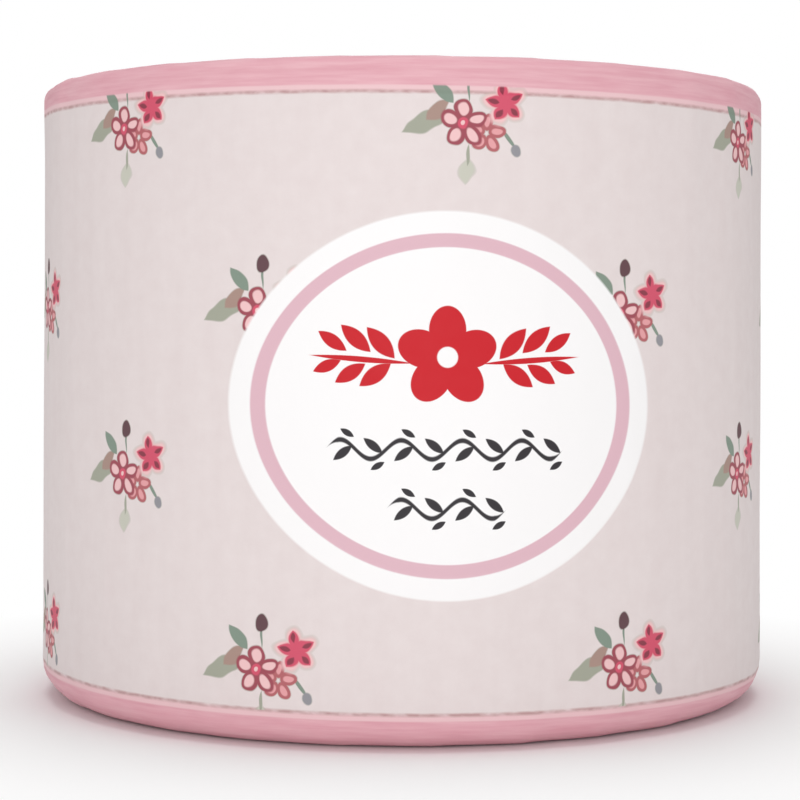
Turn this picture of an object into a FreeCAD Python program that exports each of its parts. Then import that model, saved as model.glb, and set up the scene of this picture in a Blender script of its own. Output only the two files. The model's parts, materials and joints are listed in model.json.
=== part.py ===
"""A paper-wrapped toilet roll standing on its end, in millimetres.

A cardboard core carries the wound tissue. One printed paper sheet is wrapped once round the tissue,
lapped and glued down the back, folded over both ends in knife pleats and tucked into the core.
The origin is the middle of the base, +Z is up the roll's axis, and -Y is the printed front.
"""

import FreeCAD
import Part

import os

import Sketcher

os.makedirs("parts", exist_ok=True)

doc = FreeCAD.newDocument("wrapped_toilet_roll")

# The driving sizes
SIZES = [
    ("roll_radius", 59.75),  # wound tissue, axis to outer turn
    ("tissue_width", 100.0),  # width of the tissue web, the roll's height
    ("paper_thick", 0.15),  # wrapping paper
    ("layer_gap", 0.1),  # slack between one piece and the next
    ("top_shoulder", 2.4),  # rounding of the paper at the top rim
    ("base_shoulder", 6.0),  # rounding of the paper at the base rim, pressed softer by standing
    ("rim_flat", 4.0),  # level ring inside each shoulder, which the roll stands on
    ("dish_depth", 1.0),  # how far the rest of each end is pressed in below that ring
    ("dish_run", 6.0),  # width of the slope from the ring down to it
    ("mouth_bevel", 1.2),  # how far the paper rounds the core's edge as it turns inwards
    ("tuck_depth", 18.0),  # how far the paper's edge is tucked past the mouth
    ("tuck_pile", 0.8),  # thickness of the pleats where they pile up, at the mouth and in the core
    ("lap_width", 16.0),  # overlap of the sheet's two edges at the back
    ("lap_fade", 3.0),  # height over which the lap is pressed flat before each shoulder
    ("pleat_pairs", 13.0),  # each pair is one long and one short pleat
    ("pleat_rise", 0.7),  # height of a pleat's fold at the mouth
    ("pleat_cover", 1.12),  # width of a pleat at the mouth, as a share of its spacing
    ("pleat_lean", 8.0),  # degrees that a pleat swings round between its two ends
    ("long_margin", 1.0),  # how far inside that slope a long pleat runs out
    ("short_margin", 10.0),  # the same for a short pleat
    ("core_bore", 21.9),  # inside radius of the cardboard core
    ("core_wall", 0.6),  # two glued plies of board
    ("seam_lead", 92.0),  # height that the core's spiral seam climbs in one turn
    ("seam_gap", 0.8),  # width of the open joint between two turns of the inner ply
    ("seam_depth", 0.25),  # thickness of the inner ply
    ("turn_pitch", 8.0),  # distance between the turns that show as marks on the tissue's ends
    ("turn_width", 0.9),  # width of such a mark
    ("turn_depth", 0.35),  # depth of such a mark
]

sheet = doc.addObject("Spreadsheet::Sheet", "sizes")
for row, (alias, amount) in enumerate(SIZES, start=1):
    sheet.set(f"A{row}", alias)
    sheet.set(f"B{row}", str(amount))
    sheet.setAlias(f"B{row}", alias)
doc.recompute()


def number(formula):
    """What a formula over the sheet's aliases comes to."""
    return float(sheet.evalExpression(formula))


# Radii, as formulas over the sheet
OUTER = "(sizes.roll_radius + sizes.layer_gap + sizes.paper_thick)"
TUCK_BACK = "(sizes.core_bore - sizes.layer_gap)"
BORE = f"({TUCK_BACK} - sizes.tuck_pile)"
MOUTH = f"({BORE} + sizes.mouth_bevel)"
CORE_OUTER = "(sizes.core_bore + sizes.core_wall)"
TISSUE_INNER = f"({CORE_OUTER} + sizes.layer_gap)"

# How deep a pleat is rooted in the paper below it
PLEAT_ROOT = "(sizes.paper_thick / 2)"

# Each shoulder's quarter turn is bent from straight chords. These are the angles, in degrees, of their ends.
SEEN_BENDS = {"top_shoulder": (0, 30, 60, 90), "base_shoulder": (0, 22.5, 45, 67.5, 90)}
HIDDEN_BENDS = {"top_shoulder": (0, 90), "base_shoulder": (0, 45, 90)}

# Heights above the base, which are also depths below the top
HEIGHT = "(sizes.tissue_width + 2 * (sizes.layer_gap + sizes.paper_thick))"
TISSUE_END = "(sizes.paper_thick + sizes.layer_gap)"
MOUTH_BACK = "(sizes.dish_depth + sizes.tuck_pile)"
CORE_END = f"({MOUTH_BACK} + sizes.layer_gap)"
TUCK_END = "(sizes.dish_depth + sizes.tuck_depth)"


def from_base(height):
    """A height on the base end."""
    return height


def from_top(height):
    """The same height on the top end, measured down from the top."""
    return f"({HEIGHT} - {height})"


def flat_outer(shoulder):
    """Radius where an end's level ring meets its shoulder."""
    return f"({OUTER} - sizes.{shoulder})"


def flat_inner(shoulder):
    """Radius where an end's level ring meets the slope."""
    return f"({OUTER} - sizes.{shoulder} - sizes.rim_flat)"


def dish_outer(shoulder):
    """Radius where the slope meets the pressed-in rest of the end."""
    return f"({flat_inner(shoulder)} - sizes.dish_run)"


def new_piece(name):
    """A body, which is one separate piece of the roll."""
    body = doc.addObject("PartDesign::Body", name)
    body.Label = name
    return body


def origin_part(body, role):
    """One of the body's own planes or axes."""
    return next(feature for feature in body.Origin.OriginFeatures if feature.Role == role)


def new_sketch(body, name, role="XZ_Plane"):
    """A sketch on an upright plane through the axis: its X is the radius and its Y the height."""
    sketch = body.newObject("Sketcher::SketchObject", name)
    sketch.AttachmentSupport = [(origin_part(body, role), "")]
    sketch.MapMode = "FlatFace"
    return sketch


def pin(sketch, edge, end, kind, formula):
    """Fixes one coordinate of a point by a formula. A point at nought lies on the axis itself."""
    if formula == "0":
        axis = -1 if kind == "DistanceY" else -2
        sketch.addConstraint(Sketcher.Constraint("PointOnObject", edge, end, axis))
        return
    place = sketch.addConstraint(Sketcher.Constraint(kind, -1, 1, edge, end, number(formula)))
    sketch.setExpression(f"Constraints[{place}]", formula)


def draw_loop(sketch, *corners):
    """Draws a closed loop through corners, each a pair of formulas."""
    points = [FreeCAD.Vector(number(across), number(up), 0) for across, up in corners]
    lines = zip(points, points[1:] + points[:1])
    edges = [sketch.addGeometry(Part.LineSegment(start, stop), False) for start, stop in lines]
    for n, (across, up) in enumerate(corners):
        sketch.addConstraint(Sketcher.Constraint("Coincident", edges[n - 1], 2, edges[n], 1))
        pin(sketch, edges[n], 1, "DistanceX", across)
        pin(sketch, edges[n], 1, "DistanceY", up)


def revolve(body, sketch, angle="360"):
    """Turns a sketch about the roll's axis. Less than a full turn spreads both ways from the sketch."""
    feature = body.newObject("PartDesign::Revolution", sketch.Name + "_turned")
    feature.Profile = sketch
    feature.ReferenceAxis = (sketch, ["V_Axis"])
    feature.Midplane = angle != "360"
    feature.setExpression("Angle", angle)
    return feature


def cut_spiral(body, sketch, mode, **formulas):
    """Cuts a sketch's section along a spiral about the roll's axis, and makes sure that it cuts."""
    doc.recompute()
    before = body.Shape.Volume
    feature = body.newObject("PartDesign::SubtractiveHelix", sketch.Name + "_cut")
    feature.Profile = sketch
    feature.ReferenceAxis = (sketch, ["V_Axis"])
    feature.Mode = mode
    for size_name, formula in formulas.items():
        feature.setExpression(size_name, formula)
    doc.recompute()
    if not body.Shape.Volume < before:
        raise ValueError(f"{feature.Name} cuts nothing")
    return feature


# The wrapping paper


def shoulder_corners(shoulder, place, inset, bends):
    """Corners along a shoulder, from the level ring to the side, inset from the outer face."""
    radius = f"(sizes.{shoulder} - {inset})"
    return [
        (
            f"({flat_outer(shoulder)} + {radius} * sin({bend}))",
            place(f"(sizes.{shoulder} - {radius} * cos({bend}))"),
        )
        for bend in bends
    ]


def paper_outside(shoulder, place):
    """The seen face of one end, from the tucked edge to the side. The mouth's bevel is cut later."""
    return [
        (BORE, place(TUCK_END)),
        (BORE, place("sizes.dish_depth")),
        (dish_outer(shoulder), place("sizes.dish_depth")),
        (flat_inner(shoulder), place("0")),
        *shoulder_corners(shoulder, place, "0", SEEN_BENDS[shoulder]),
    ]


def paper_inside(shoulder, place):
    """The hidden face of the same end. The paper is thicker inwards, where its pleats pile up."""
    return [
        (TUCK_BACK, place(TUCK_END)),
        (TUCK_BACK, place(MOUTH_BACK)),
        (dish_outer(shoulder), place(MOUTH_BACK)),
        (flat_inner(shoulder), place("sizes.paper_thick")),
        *shoulder_corners(shoulder, place, "sizes.paper_thick", HIDDEN_BENDS[shoulder]),
    ]


def hang_pleat_sketch(body, name, place, radius, heading, shift="0"):
    """An upright sketch across a pleat, rooted in the pressed-in end. heading is in degrees from the front."""
    half_turn = 0 if place is from_top else 180
    sketch = new_sketch(body, name)
    sketch.AttachmentOffset = FreeCAD.Placement(
        FreeCAD.Vector(0, 0, 0), FreeCAD.Rotation(FreeCAD.Vector(0, 0, 1), half_turn)
    )
    side = "-" if place is from_top else "+"
    sketch.setExpression("AttachmentOffset.Base.x", f"{radius} * sin({heading}) {side} {shift}")
    sketch.setExpression("AttachmentOffset.Base.y", place(f"(sizes.dish_depth + {PLEAT_ROOT})"))
    sketch.setExpression("AttachmentOffset.Base.z", f"{radius} * cos({heading})")
    return sketch


def pleat(body, name, place, shoulder, margin, heading):
    """A knife pleat: a sloping top and an upright fold, highest at the mouth, that run out to a point."""
    radius = f"({BORE} + sizes.mouth_bevel / 2)"
    width = f"({radius} * pi / sizes.pleat_pairs * sizes.pleat_cover)"
    mouth = hang_pleat_sketch(body, f"{name}_mouth", place, radius, heading, f"{width} / 2")
    draw_loop(mouth, ("0", "0"), (width, "0"), (width, f"(sizes.pleat_rise + {PLEAT_ROOT})"))
    tip = hang_pleat_sketch(
        body,
        f"{name}_tip",
        place,
        f"({dish_outer(shoulder)} - {margin})",
        f"({heading} + sizes.pleat_lean)",
    )
    point = tip.addGeometry(Part.Point(FreeCAD.Vector(0, 0, 0)), False)
    tip.addConstraint(Sketcher.Constraint("Coincident", point, 1, -1, 1))
    loft = body.newObject("PartDesign::AdditiveLoft", name)
    loft.Profile = mouth
    loft.Sections = [tip]
    loft.Ruled = True
    return loft


def pleat_ring(body, name, place, shoulder):
    """All the pleats of one end, long and short by turns."""
    half_spacing = "(90 / sizes.pleat_pairs)"
    long_pleat = pleat(body, f"{name}_long_pleat", place, shoulder, "sizes.long_margin", f"(0 - {half_spacing})")
    short_pleat = pleat(body, f"{name}_short_pleat", place, shoulder, "sizes.short_margin", half_spacing)
    ring = body.newObject("PartDesign::PolarPattern", f"{name}_pleats")
    ring.Originals = [long_pleat, short_pleat]
    ring.Axis = (origin_part(body, "Z_Axis"), [""])
    ring.Angle = 360
    ring.setExpression("Occurrences", "sizes.pleat_pairs")
    body.Tip = ring
    return ring


def bevel_mouth(body, name, place):
    """Presses the pleats and the sheet's own corner flat where they turn into the core, at 45 degrees."""
    clear = "(sizes.dish_depth + sizes.pleat_rise)"
    inner = f"({BORE} / 2)"
    outer = f"({BORE} + sizes.mouth_bevel + {clear})"
    low, high = "(sizes.dish_depth + sizes.mouth_bevel)", f"(sizes.dish_depth - {clear})"
    sketch = new_sketch(body, name)
    draw_loop(sketch, (inner, place(low)), (BORE, place(low)), (outer, place(high)), (inner, place(high)))
    doc.recompute()
    before = body.Shape.Volume
    groove = body.newObject("PartDesign::Groove", f"{name}_bevel")
    groove.Profile = sketch
    groove.ReferenceAxis = (sketch, ["V_Axis"])
    groove.Angle = 360
    doc.recompute()
    if not body.Shape.Volume < before:
        raise ValueError(f"{groove.Name} cuts nothing")


def make_wrapper():
    """The printed sheet: its turned section, the lap down the back, and the pleats over both ends."""
    body = new_piece("wrapper")
    section = new_sketch(body, "sheet_section")
    draw_loop(
        section,
        *paper_outside("base_shoulder", from_base),
        *reversed(paper_outside("top_shoulder", from_top)),
        *paper_inside("top_shoulder", from_top),
        *reversed(paper_inside("base_shoulder", from_base)),
    )
    revolve(body, section)

    lap_back = f"({OUTER} - sizes.paper_thick / 2)"
    lap_face = f"({OUTER} + sizes.paper_thick)"
    lap = new_sketch(body, "lap_section", "YZ_Plane")
    draw_loop(
        lap,
        (lap_back, "sizes.base_shoulder"),
        (lap_face, "(sizes.base_shoulder + sizes.lap_fade)"),
        (lap_face, from_top("(sizes.top_shoulder + sizes.lap_fade)")),
        (lap_back, from_top("sizes.top_shoulder")),
    )
    revolve(body, lap, f"(sizes.lap_width / {OUTER} * 180 / pi)")

    pleat_ring(body, "top", from_top, "top_shoulder")
    pleat_ring(body, "base", from_base, "base_shoulder")
    bevel_mouth(body, "top_mouth", from_top)
    bevel_mouth(body, "base_mouth", from_base)
    return body


# The wound tissue


def tissue_outside(shoulder, place):
    """One end of the wound tissue, from the core to its side, shaped by the paper pressed over it."""
    return [
        (TISSUE_INNER, place(CORE_END)),
        (dish_outer(shoulder), place(CORE_END)),
        (flat_inner(shoulder), place(TISSUE_END)),
        *shoulder_corners(shoulder, place, TISSUE_END, HIDDEN_BENDS[shoulder]),
    ]


def mark_turns(body, name, place, shoulder):
    """A shallow V along the spiral of the tissue's turns, over the pressed-in part of one end."""
    start = f"({TISSUE_INNER} + sizes.turn_pitch / 2)"
    sketch = new_sketch(body, name)
    draw_loop(
        sketch,
        (f"({start} - sizes.turn_width)", place(f"({CORE_END} - sizes.turn_depth)")),
        (start, place(f"({CORE_END} + sizes.turn_depth)")),
        (f"({start} + sizes.turn_width)", place(f"({CORE_END} - sizes.turn_depth)")),
    )
    turns = f"(floor(({dish_outer(shoulder)} - {start}) / sizes.turn_pitch))"
    cut_spiral(body, sketch, "height-turns-growth", Turns=turns, Growth="sizes.turn_pitch", Height="0")


def make_tissue():
    """The web of tissue wound on the core, as one solid with its turns marked on both ends."""
    body = new_piece("tissue_roll")
    section = new_sketch(body, "tissue_section")
    draw_loop(
        section,
        *tissue_outside("base_shoulder", from_base),
        *reversed(tissue_outside("top_shoulder", from_top)),
    )
    revolve(body, section)
    mark_turns(body, "top_turns", from_top, "top_shoulder")
    mark_turns(body, "base_turns", from_base, "base_shoulder")
    return body


# The cardboard core


def make_core():
    """A tube of two glued plies, whose inner ply leaves an open spiral seam."""
    body = new_piece("core_tube")
    section = new_sketch(body, "core_section")
    draw_loop(
        section,
        ("sizes.core_bore", CORE_END),
        (CORE_OUTER, CORE_END),
        (CORE_OUTER, from_top(CORE_END)),
        ("sizes.core_bore", from_top(CORE_END)),
    )
    revolve(body, section)

    seam_bottom = f"({CORE_END} - 2 * sizes.seam_gap)"
    seam_front = "(sizes.core_bore - sizes.seam_depth)"
    seam_back = "(sizes.core_bore + sizes.seam_depth)"
    seam = new_sketch(body, "seam_section")
    draw_loop(
        seam,
        (seam_front, seam_bottom),
        (seam_back, seam_bottom),
        (seam_back, f"({seam_bottom} + sizes.seam_gap)"),
        (seam_front, f"({seam_bottom} + sizes.seam_gap)"),
    )
    cut_spiral(body, seam, "pitch-height-angle", Pitch="sizes.seam_lead", Height=f"({HEIGHT})")
    return body


pieces = [make_wrapper(), make_tissue(), make_core()]
doc.recompute()

for item in doc.Objects:
    if "Invalid" in item.State or "Error" in item.State:
        raise ValueError(f"{item.Name} failed: {item.State}")
for body in pieces:
    shape = body.Shape
    if shape.isNull() or not shape.isValid() or len(shape.Solids) != 1:
        raise ValueError(f"{body.Label} is not one sound solid")
    box = shape.BoundBox
    print(f"{body.Label}: {shape.Volume:.1f} mm3, {len(shape.Faces)} faces, {box.XLength:.2f} x "
          f"{box.YLength:.2f} x {box.ZLength:.2f} mm from {box.ZMin:.2f}")
    shape.exportStep(f"parts/{body.Label}.step")
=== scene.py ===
"""A paper-wrapped toilet roll on a pale floor: its printed sheet, its pink tissue and its board core.

Lengths are in metres, except those of the print, which are in millimetres on the sheet. The roll stands
on the origin, +Z is up its axis and -Y is its printed front. Headings run from the front towards +X.
"""

import json
import math
import random
from collections import namedtuple

import bpy
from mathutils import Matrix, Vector, noise


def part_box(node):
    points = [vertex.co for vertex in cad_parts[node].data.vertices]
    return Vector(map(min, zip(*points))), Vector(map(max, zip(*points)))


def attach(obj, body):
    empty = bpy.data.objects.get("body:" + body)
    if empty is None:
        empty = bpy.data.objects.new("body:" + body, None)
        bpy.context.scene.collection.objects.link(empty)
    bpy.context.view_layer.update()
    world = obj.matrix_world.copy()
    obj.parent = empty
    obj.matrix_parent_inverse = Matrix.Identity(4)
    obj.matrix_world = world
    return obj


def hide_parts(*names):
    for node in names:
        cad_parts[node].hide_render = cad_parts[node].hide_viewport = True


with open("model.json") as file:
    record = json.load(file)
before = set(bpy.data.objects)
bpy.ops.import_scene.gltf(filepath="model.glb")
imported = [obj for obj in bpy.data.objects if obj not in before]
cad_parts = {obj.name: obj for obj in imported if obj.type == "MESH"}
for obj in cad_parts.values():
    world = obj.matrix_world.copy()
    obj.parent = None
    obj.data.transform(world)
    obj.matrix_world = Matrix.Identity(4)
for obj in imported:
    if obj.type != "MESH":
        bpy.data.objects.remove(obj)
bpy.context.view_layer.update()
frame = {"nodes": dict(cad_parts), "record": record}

bl_info = {
    "name": "Wrapped toilet roll",
    "version": (1, 0, 0),
    "blender": (4, 5, 0),
    "location": "3D View > Sidebar > Wrapped roll",
    "description": "Builds a toilet roll in its pleated, printed paper, with its core, tissue and stage",
    "category": "Object",
}

MM = 0.001
FULL_TURN = 2 * math.pi


def mount(name):
    """One of the roll's mounts, as the frame's record gives it."""
    return next(entry for entry in frame["record"]["mounts"] if entry["name"] == name)


# Places that the frame gives
PAPER_LOW, PAPER_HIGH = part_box("wrapper")
ROLL_RADIUS = PAPER_HIGH[0]
TOP = PAPER_HIGH[2]
BASE = PAPER_LOW[2]
BORE_RADIUS = mount("core_bore")["dims"]["r_mm"] * MM


def ink(red, green, blue):
    """A colour given from 0 to 255 a channel, as the linear colour that Blender works in."""

    def linear(channel):
        share = channel / 255
        return share / 12.92 if share <= 0.04045 else ((share + 0.055) / 1.055) ** 2.4

    return linear(red), linear(green), linear(blue)


def length(name, description, default):
    """A property that holds a length."""
    return bpy.props.FloatProperty(
        name=name, description=description, default=default, unit="LENGTH", precision=5, min=0.0
    )


def angle(name, description, degrees):
    """A property that holds an angle."""
    default = math.radians(degrees)
    return bpy.props.FloatProperty(name=name, description=description, default=default, subtype="ANGLE")


def number(name, description, default, unit="NONE"):
    """A property that holds a number."""
    settings = {"name": name, "description": description, "default": default, "unit": unit}
    return bpy.props.FloatProperty(**settings, precision=4)


def whole_number(name, description, default, low=0, high=100):
    """A property that holds a whole number."""
    return bpy.props.IntProperty(name=name, description=description, default=default, min=low, max=high)


def colour(name, description, default):
    """A property that holds a colour."""
    return bpy.props.FloatVectorProperty(
        name=name, description=description, default=default, subtype="COLOR", min=0.0, max=1.0
    )


# Settings


class SheetSizes(bpy.types.PropertyGroup):
    """How the wrapping sheet is folded."""

    thickness: length("Paper thickness", "Thickness of the wrapping paper", 0.15 * MM)
    rim_gap: length("Rim gap", "How far the level paper lies inside the roll's full height", 0.18 * MM)
    top_shoulder: length("Top shoulder", "Rounding of the paper at the top rim", 2.4 * MM)
    base_shoulder: length("Base shoulder", "Rounding of the paper at the base rim", 6.0 * MM)
    level_ring: length("Level ring", "Width of the level ring inside each shoulder", 4.0 * MM)
    dish_run: length("Dish run", "Distance over which the end sinks inside the level ring", 9.0 * MM)
    dish: length("Dish", "How far the valleys between the pleats sink at the mouth", 1.35 * MM)
    mouth_round: length("Mouth rounding", "Rounding of the paper as it turns into the core", 0.8 * MM)
    tuck_depth: length("Tuck depth", "How far the paper's edge is tucked down the core", 19.0 * MM)
    tuck_slack: length("Tuck slack", "How far the tucked valleys lie outside the bore's radius", 0.72 * MM)
    pleats: whole_number("Pleats", "Folds over each end", 26, 8, 60)
    pleat_rise: length("Pleat rise", "Height of a full pleat above its valley", 1.05 * MM)
    pleat_lean: angle("Pleat lean", "How far the pleats swing round between rim and mouth", 16)
    gather: length("Rim gathers", "Height of the small gathers where the paper rounds the rim", 0.16 * MM)
    ripple: length("Side ripple", "Height of the soft ripples down the side", 0.18 * MM)
    lap_width: length("Lap width", "Overlap of the sheet's edges at the back", 16.0 * MM)
    lap_step: length("Lap step", "Height of the lap's free edge", 0.24 * MM)
    seed: whole_number("Seed", "Changes how the pleats fall", 7)


class PrintColours(bpy.types.PropertyGroup):
    """The inks on the wrapping sheet."""

    paper: colour("Paper", "Pale pinkish paper", ink(232, 221, 220))
    paper_shade: colour("Paper shade", "Darker streaks and clouds in the paper", ink(225, 212, 211))
    band: colour("Rim band", "Pink of the bands at both rims", ink(233, 183, 191))
    band_shade: colour("Rim band shade", "Darker streaks in the bands", ink(223, 162, 174))
    pinstripe: colour("Pinstripe", "Thin line beside each band", ink(192, 154, 154))
    gap: colour("Pinstripe gap", "Pale pink between band and pinstripe", ink(236, 198, 202))
    label: colour("Label", "White of the oval label", ink(250, 248, 248))
    ring: colour("Label ring", "Pink ring inside the label", ink(224, 184, 195))
    blossom_line: colour("Blossom outline", "Outline of the looped petals", ink(154, 54, 72))
    blossom_fill: colour("Blossom fill", "Inside of the looped petals", ink(242, 196, 197))
    star: colour("Star blossom", "Crimson of the small star blossom", ink(212, 66, 98))
    star_heart: colour("Star blossom shade", "Dark crimson down the star's petals", ink(132, 20, 52))
    side_blossom: colour("Side blossom", "Muted red of the half hidden blossom", ink(178, 88, 94))
    side_fill: colour("Side blossom fill", "Inside of the half hidden blossom's petals", ink(230, 158, 162))
    leaf: colour("Leaf", "Tan-grey green of the open leaves", ink(160, 163, 146))
    leaf_shade: colour("Leaf shade", "Darker grey-green of the narrow leaves", ink(124, 143, 128))
    leaf_tan: colour("Tan leaf", "Brownish tan of the short leaf", ink(166, 136, 124))
    leaf_pale: colour("Pale leaf", "Pale sage of the round leaf", ink(200, 200, 186))
    berry: colour("Berry", "Grey of the berry", ink(142, 142, 148))
    bud: colour("Bud", "Dark plum of the bud", ink(84, 42, 52))
    red: colour("Label red", "Red of the label's blossom and twigs", ink(204, 26, 38))
    vine: colour("Label vine", "Dark grey of the label's vines", ink(52, 48, 52))


class RollColours(bpy.types.PropertyGroup):
    """The colours of what the sheet wraps."""

    tissue: colour("Tissue", "Pink of the tissue", ink(240, 203, 208))
    tissue_shade: colour("Tissue shade", "Pink between the tissue's turns", ink(222, 176, 184))
    board: colour("Board", "Brown-grey of the core's board", ink(196, 178, 156))
    board_shade: colour("Board shade", "Darker fibres in the board", ink(160, 138, 114))


class StageSettings(bpy.types.PropertyGroup):
    """The camera and the lights."""

    distance: length("Camera distance", "From the roll's axis to the camera", 0.3812)
    eye_height: length("Camera height", "Height of the camera above the floor", 0.0626)
    lens: number("Lens", "Focal length", 100.9, "CAMERA")
    shift_x: number("Shift X", "Sideways shift of the frame, as a share of its width", -0.0031)
    shift_y: number("Shift Y", "Upward shift of the frame, as a share of its width", -0.1036)
    roll: angle("Camera roll", "Tilt of the frame", -0.2)
    light_power: number("Front light", "Power of the light in front", 3.7, "POWER")
    top_power: number("Top light", "Power of the light overhead", 4.2, "POWER")
    back_power: number("Back light", "Power of the light behind", 2.6, "POWER")
    ambient: number("Ambient", "Strength of the even light from all round", 0.46)
    floor: colour("Floor", "Colour of the floor", (0.94, 0.94, 0.94))


# The folded sheet

# One ring of the sheet's points: the end that it lies on or None, how far inward it is from 0 at the rim to
# 1 at the mouth and 2 at the tucked edge, its radius and height, and the sheet's outward direction there
Row = namedtuple("Row", "end inward radius height out_r out_z")

# One pleat's section from its root to the root of the next: how far along it is, where that lies across,
# and how high it stands, as shares of its spacing and of its rise. It climbs, passes over the next root,
# turns at the fold and comes back underneath. A gather at the rim only climbs and falls.
PLEAT_SECTION = [
    (0.0, 0.0, 0.0), (0.1, 0.12, 0.12), (0.35, 0.46, 0.5), (0.6, 0.86, 0.82), (0.72, 1.12, 0.96),
    (0.79, 1.24, 1.0), (0.84, 1.27, 0.86), (0.89, 1.22, 0.55), (0.95, 1.08, 0.16), (1.0, 1.0, 0.0),
]
PLEAT_ACROSS = [(share, across) for share, across, _ in PLEAT_SECTION]
PLEAT_UP = [(share, up) for share, _, up in PLEAT_SECTION]
GATHER_UP = [(0.0, 0.0), (0.79, 1.0), (1.0, 0.0)]
PLEAT_STEPS = (0.0, 0.1, 0.22, 0.35, 0.48, 0.6, 0.72, 0.79, 0.84, 0.89, 0.95)

# The share of the way from rim to mouth over which a pleat rises and leans over
FOLD_REACH = 0.42

# How the pleats differ: the most that a root shifts, in spacings, the least rise and gather, and how far
# inward a pleat starts, every other one later. Then how their swing grows, and how sharp the gathers are.
ROOT_SHIFT = 0.24
LEAST_RISE = 0.66
LEAST_GATHER = 0.3
START_SPREAD = 0.08
LATE_START = 0.16
SWING_POWER = 1.4
GATHER_POWER = 1.5

# The lap: where the step down at its free edge ends, as a place along and as a width on the side, and the
# distance over which the sheet climbs onto the edge below
LAP_SHARE = 0.05
LAP_EDGE_WIDTH = 0.12 * MM
LAP_RAMP = 3.0 * MM

# How many rows cross the tuck, the mouth, the end and the shoulder, on each side of the sheet
OUTER_COUNTS = (9, 6, 30, 8)
INNER_COUNTS = (2, 3, 5, 4)
OUTER_SIDE_COUNT = 46
INNER_SIDE_COUNT = 3

# The least room left above a pleat, how far inward and how far down the side the rim's gathers reach, and
# how far and how often the tucked edge strays up and down
CLEARANCE = 0.02 * MM
RIM_REACH = 0.2
GATHER_FADE = (3 * MM, 13 * MM)
TUCK_WANDER = 3.2 * MM
TUCK_WAVES = 4.0

# The side's ripples: how often each kind comes round, how tall it is, its share, and where its noise starts
RIPPLES = ((9.0, 30 * MM, 0.7, 0.0), (28.0, 22 * MM, 0.35, 5.0))
RIPPLE_MIDDLE = 0.45

# Each patch of the mesh is two triangles, because a patch at a pleat's tip is twisted
PATCH_HALVES = ((0, 1, 2), (0, 2, 3))
SHARP_ANGLE = 40


def smooth(value, start=0.0, stop=1.0):
    """A soft step from 0 at start to 1 at stop."""
    share = min(max((value - start) / (stop - start), 0.0), 1.0)
    return share * share * (3 - 2 * share)


def blend(low, high, share):
    """The value that lies that share of the way from low to high."""
    return low + (high - low) * share


def interpolate(share, stops):
    """The height, a share of the way along, of the line through stops given as (share, height)."""
    for (at, height), (next_at, next_height) in zip(stops, stops[1:]):
        if share <= next_at:
            return blend(height, next_height, (share - at) / (next_at - at))
    return stops[-1][1]


class FoldedEnd:
    """The pleats over one end: where each fold runs and how high it stands, at any distance from the rim."""

    def __init__(self, sizes, seed):
        chance = random.Random(seed)
        self.count = sizes.pleats
        self.spacing = FULL_TURN / self.count
        self.swing = sizes.pleat_lean
        self.shift = [chance.uniform(-ROOT_SHIFT, ROOT_SHIFT) for _ in range(self.count)]
        self.rise = [chance.uniform(LEAST_RISE, 1.0) for _ in range(self.count)]
        self.start = [
            chance.uniform(0.0, START_SPREAD) + (LATE_START * chance.random() if n % 2 else 0.0)
            for n in range(self.count)
        ]
        self.gather = [chance.uniform(LEAST_GATHER, 1.0) for _ in range(self.count)]

    def root(self, n, inward):
        """Heading of a pleat's root, some way inward."""
        own = self.shift[n % self.count] * self.spacing * smooth(inward)
        return n * self.spacing + own + self.swing * inward**SWING_POWER

    def place(self, along, inward, room):
        """Heading and height of a point that lies a number of pleats round. room is the height there is."""
        n = math.floor(along)
        share = along - n
        start = self.start[n % self.count]
        fold = smooth(inward, start, start + FOLD_REACH)
        across = blend(share, interpolate(share, PLEAT_ACROSS), fold)
        up = interpolate(share, PLEAT_UP) * fold * self.rise[n % self.count] * room
        return blend(self.root(n, inward), self.root(n + 1, inward), across), up

    def pucker(self, along):
        """Height of the small gather at the rim in line with a pleat, from 0 to 1."""
        n = math.floor(along)
        share = along - n
        ridge = interpolate(share, GATHER_UP)
        return self.gather[n % self.count] * ridge**GATHER_POWER


def arc(centre_r, centre_z, size, start, stop, count):
    """Points and outward directions along an arc, from start to stop in degrees from outward."""
    for n in range(count):
        tilt = math.radians(blend(start, stop, n / (count - 1)))
        out_r, out_z = math.cos(tilt), math.sin(tilt)
        yield centre_r + size * out_r, centre_z + size * out_z, out_r, out_z


def end_rows(sizes, end, shoulder, inside, counts):
    """Rows over one end, from the tucked edge to the foot of the shoulder, as if it were the top.

    Heights are below the top. With inside they follow the sheet's inner side.
    """
    tuck_count, mouth_count, end_count, shoulder_count = counts
    skin = sizes.thickness if inside else 0.0
    wall = BORE_RADIUS + sizes.tuck_slack + skin
    mouth_size = sizes.mouth_round - skin
    mouth_r = wall + mouth_size
    mouth_z = -sizes.dish - sizes.mouth_round
    rim_r = ROLL_RADIUS - shoulder
    level_r = rim_r - sizes.level_ring
    rows = []
    for n in range(tuck_count):
        share = 1 - n / tuck_count
        rows.append(Row(end, 1 + share, wall, blend(mouth_z, -sizes.tuck_depth, share), -1.0, 0.0))
    for r, z, out_r, out_z in arc(mouth_r, mouth_z, mouth_size, 180, 90, mouth_count):
        rows.append(Row(end, 1.0, r, z, out_r, out_z))
    for n in range(1, end_count):
        r = blend(mouth_r, rim_r, n / end_count)
        drop = blend(sizes.rim_gap, sizes.dish, smooth(level_r - r, 0.0, sizes.dish_run))
        rows.append(Row(end, (rim_r - r) / (rim_r - mouth_r), r, -drop - skin, 0.0, 1.0))
    for r, z, out_r, out_z in arc(rim_r, -sizes.rim_gap - shoulder, shoulder - skin, 90, 0, shoulder_count):
        rows.append(Row(end, 0.0, r, z, out_r, out_z))
    return rows


def upright(rows):
    """Top rows at their height in the frame."""
    return [row._replace(height=TOP + row.height) for row in rows]


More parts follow.
